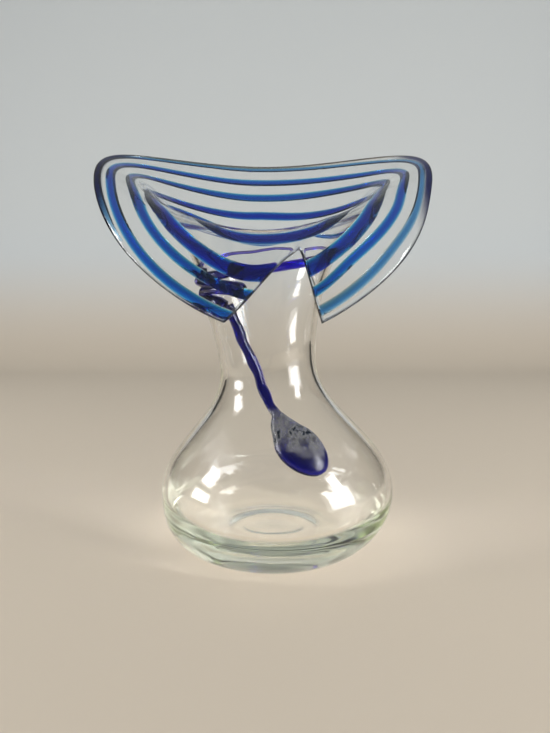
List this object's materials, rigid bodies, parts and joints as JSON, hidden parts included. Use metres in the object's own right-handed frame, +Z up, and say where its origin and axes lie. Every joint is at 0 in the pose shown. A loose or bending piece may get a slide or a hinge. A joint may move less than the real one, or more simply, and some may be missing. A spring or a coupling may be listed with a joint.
{
  "type": "art glass vase",
  "caption": "Squat blown-glass vase with its lip cut and folded into a shirt collar wound with blue thread, and a blue glass tie on the front; holds a few stems.",
  "frame": {"origin": "middle of the flat base that the vase stands on", "axes": "+Z up, -Y towards the front with the notch and the tie, +X to the right seen from the front"},
  "size_m": [0.1818, 0.1246, 0.2192],
  "materials": {
    "clear_glass": "fire-polished, clear with a faint green in the thick base",
    "cobalt_glass": "fire-polished, transparent cobalt blue"
  },
  "bodies": {
    "root": {"body": "clear_glass", "collar": "clear_glass", "thread_turn_1": "cobalt_glass", "thread_turn_2": "cobalt_glass", "thread_turn_3": "cobalt_glass", "thread_turns_4_5": "cobalt_glass", "neck_band": "cobalt_glass", "tie_knot": "cobalt_glass", "tie_blade": "cobalt_glass"}
  },
  "joints": []
}
